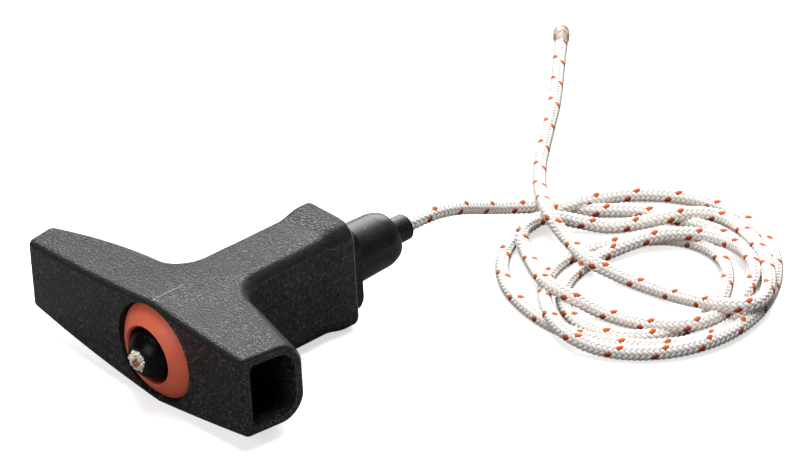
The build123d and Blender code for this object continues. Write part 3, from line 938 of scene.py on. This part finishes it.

# %% [markdown]
# ## Braided fibre
#
# Each strand is a bundle of fine filaments, white ones and in the tracer orange-brown ones. A
# pattern on Object coordinates would run straight across the strands, so this one reads the strand's
# own map, stretched along it until its patches are thin lines. Between the strands of a real braid it
# is darker than in the small gaps of our model, because little light gets in there. So each strand's
# edges get a painted shade, and the side that faces the table a warmer, darker painted shade.

# %% Braided fibre
STRAND_MIDDLE = 0.4
# The strands' edges get a painted shade, as in the gaps between strands.
CREVICE_BEGINS = 0.23
CREVICE_ENDS = 0.37
CREVICE_SHOWS = 0.65
FILAMENT_STRETCH = (9.0, 0.25, 1.0)
# The side that faces the table gets a painted shade, warmer and darker.
UNDERSIDE_SHADE_LEANS = {"Lowest": -1.5, "Low": -1.0, "High": -0.1, "Highest": 0.75}


def fibre(name, dark, light, crevice_shade, shade):
    """Filaments along a strand, with painted shade at its edges and on the underside."""
    material, tree, shader = new_finish(name, light, roughness=0.75, Specular_IOR_Level=0.25)
    strand_map = add_node(tree, "ShaderNodeUVMap", uv_map="along_and_across").outputs["UV"]
    stretched = add_node(tree, "ShaderNodeMapping", Scale=FILAMENT_STRETCH)
    tree.links.new(strand_map, stretched.inputs["Vector"])
    filaments = put_effect(tree, marks, stretched.outputs["Vector"], Scale=1.6, Low=0.3, High=0.7)
    colour = blended(tree, filaments, dark, light)
    # Painted shade on the side that faces the table.
    colour = blended(tree, put_effect(tree, leaning, way_it_faces(tree), **UNDERSIDE_SHADE_LEANS), colour, shade)
    # Painted shade at the strand's edges, where the strands meet.
    off_middle = reckoned(tree, "SUBTRACT", parts_of(tree, strand_map)["X"], STRAND_MIDDLE)
    apart = reckoned(tree, "ABSOLUTE", off_middle, 0.0)
    crevice_shade_mask = mapped(tree, apart, 0.0, CREVICE_SHOWS, From_Min=CREVICE_BEGINS, From_Max=CREVICE_ENDS)
    tree.links.new(blended(tree, crevice_shade_mask, colour, crevice_shade), shader.inputs["Base Color"])
    bumped(tree, filaments, shader, distance=0.00006, strength=0.5)
    return material


# The crevice and underside colours of both fibres are painted shade.
white_fibre = fibre("white_fibre", dark=(0.82, 0.79, 0.76), light=(0.96, 0.95, 0.93),
                    crevice_shade=(0.42, 0.36, 0.31), shade=(0.74, 0.66, 0.60))
orange_fibre = fibre("orange_tracer_fibre", dark=(0.42, 0.06, 0.008), light=(0.72, 0.17, 0.025),
                     crevice_shade=(0.16, 0.016, 0.003), shade=(0.20, 0.018, 0.003))
print("strand finishes:", white_fibre.name, orange_fibre.name)

# %% [markdown]
# ## Core, melted tip and frayed head
#
# Three more fibres differ only in colour, roughness and relief, and all read Object coordinates,
# because none of them has a direction to follow. The core's dark colour is a painted shade, since
# hardly any light reaches it.
# The melted tip is glazed and scorched in places. The frayed ends are soft, so they get some sheen,
# which is the faint glow of fine hairs at a grazing view.

# %% Core and melted fibre
def plain_fibre(name, base, roughness, patches, dark, light, **sockets):
    """A patchy fibre finish, and the place on the piece for its relief."""
    material, tree, shader = new_finish(name, base, roughness, **sockets)
    place = place_on_piece(tree)
    mask = put_effect(tree, marks, place, **patches)
    tree.links.new(blended(tree, mask, dark, light), shader.inputs["Base Color"])
    return material, tree, shader, place


# The core's dark colour is a painted shade between the strands.
core_fibre_painted_shade = plain_fibre(
    "core_fibre_painted_shade", base=(0.12, 0.10, 0.09), roughness=0.8,
    patches={"Scale": 1500.0, "Low": 0.35, "High": 0.65},
    dark=(0.07, 0.055, 0.05), light=(0.16, 0.13, 0.12), Specular_IOR_Level=0.1)[0]
melted, tree, shader, place = plain_fibre(
    "melted_fibre", base=(0.50, 0.43, 0.36), roughness=0.42,
    patches={"Scale": 600.0, "Low": 0.46, "High": 0.62},
    dark=(0.52, 0.46, 0.39), light=(0.26, 0.11, 0.045), Specular_IOR_Level=0.3)
bumped(tree, put_effect(tree, grain, place, Scale=900.0), shader, distance=0.0003, strength=0.6)
print("dark core and glazed tip:", core_fibre_painted_shade.name, melted.name)


# %% Frayed fibre
def frayed(name, dark, light):
    """Loose fibre ends: soft, matt and uneven in colour."""
    material, tree, shader, place = plain_fibre(
        name, base=light, roughness=0.8, patches={"Scale": 900.0, "Low": 0.35, "High": 0.6},
        dark=dark, light=light, Sheen_Weight=0.3, Sheen_Roughness=0.5)
    bumped(tree, put_effect(tree, grain, place, Scale=4000.0), shader, distance=0.0003, strength=0.6)
    return material


head_fibre = frayed("frayed_white_fibre", dark=(0.84, 0.72, 0.60), light=(0.98, 0.95, 0.90))
scorched_fibre = frayed("scorched_fibre", dark=(0.34, 0.09, 0.04), light=(0.70, 0.40, 0.28))
print("finishes of the head:", head_fibre.name, scorched_fibre.name)

# %% [markdown]
# ## Giving the finishes to the pieces
#
# The CAD nodes whose shape is right keep it and only change their material. The rope's CAD solids
# are plain tubes and one plain ring for the turns, so they are hidden: the core, the braid, the
# ragged head and the melted tip stand for them. All of it rides on the one body that the part has.

# %% Dress the CAD nodes and the new pieces
def dress(piece, *finishes):
    """These finishes in the piece's material slots, in order."""
    while len(piece.material_slots) < len(finishes):
        piece.data.materials.append(None)
    for slot, finish in zip(piece.material_slots, finishes):
        slot.material = finish


dress(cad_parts["grip_body"], grip_plastic)
dress(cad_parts["damper_bush"], orange_elastomer)
dress(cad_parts["rope_nipple"], dome_black)
dress(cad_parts["rubber_boot"], boot_rubber)
dress(rope_core, core_fibre_painted_shade)
for braid in braids + [braid_in_grip]:
    dress(braid, white_fibre, orange_fibre)
dress(rope_head, head_fibre, scorched_fibre)
dress(melted_tip, melted)

for piece in [rope_core, braid_in_grip, rope_head, melted_tip] + braids:
    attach(piece, "root")
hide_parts("rope_lead", "rope_coil", "rope_tail")
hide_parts("rope_in_grip")
print("dressed", len(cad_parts), "CAD nodes or what stands for them")

# %% [markdown]
# ## The floor
#
# The handle was photographed on a white sweep, a floor that curves up behind, lit so brightly that
# it shows pure white and almost no shadow. A floor so bright would also light the sides of the
# black plastic from below. In the studio black cards keep that light away. Here the floor is flat,
# and paler where the camera sees it than where light bounces off it, which does the same. The Light
# Path node tells the two apart.

# %% A pale floor
FLOOR_HALF = 1.6
SEEN_WHITE = 0.9
BOUNCED_WHITE = 0.2
SEEN_GLOW = 0.65

deselect_everything()
bpy.ops.mesh.primitive_plane_add(size=2 * FLOOR_HALF, location=(0, 0, 0))
floor = named("floor")
settled(floor)
paper, tree, shader = new_finish("pale_paper", (SEEN_WHITE,) * 3, roughness=0.95,
                                 Specular_IOR_Level=0.1, Emission_Color=(1, 1, 1, 1))
seen = add_node(tree, "ShaderNodeLightPath").outputs["Is Camera Ray"]
whites = blended(tree, seen, (BOUNCED_WHITE,) * 3, (SEEN_WHITE,) * 3)
tree.links.new(whites, shader.inputs["Base Color"])
tree.links.new(mapped(tree, seen, 0.0, SEEN_GLOW), shader.inputs["Emission Strength"])
dress(floor, paper)

# %% [markdown]
# ## The light
#
# A large soft box behind the handle skims over its top and gives the grained plastic its grey sheen.
# A weaker one overhead fills the rope, and the weakest, in front, opens up the dark faces. Soft boxes
# are area lights: the larger they are, the softer their shadows. A little even light from all round
# stands for the rest of the room. The Standard view keeps white as white as in the picture.

# %% Soft light
ROOM_LIGHT = 0.055


def soft_light(name, place, aim, size, watts):
    """A square area light that faces a point."""
    light = bpy.data.objects.new(name, bpy.data.lights.new(name, "AREA"))
    bpy.context.scene.collection.objects.link(light)
    light.data.size = size
    light.data.energy = watts
    light.location = place
    light.rotation_mode = "QUATERNION"
    light.rotation_quaternion = (Vector(aim) - Vector(place)).to_track_quat("-Z", "Y")


soft_light("from_behind", place=(-0.95, 1.0, 0.85), aim=(0.0, 0.05, 0.0), size=1.2, watts=45.0)
soft_light("overhead", place=(0.05, 0.2, 1.4), aim=(0.02, 0.1, 0.0), size=1.0, watts=20.0)
soft_light("front_fill", place=(0.25, -1.4, 0.8), aim=(0.0, 0.0, 0.0), size=0.9, watts=8.5)

world = bpy.data.worlds.new("studio")
world.use_nodes = True
world.node_tree.nodes["Background"].inputs["Color"].default_value = (1, 1, 1, 1)
world.node_tree.nodes["Background"].inputs["Strength"].default_value = ROOM_LIGHT
bpy.context.scene.world = world
bpy.context.scene.view_settings.view_transform = "Standard"
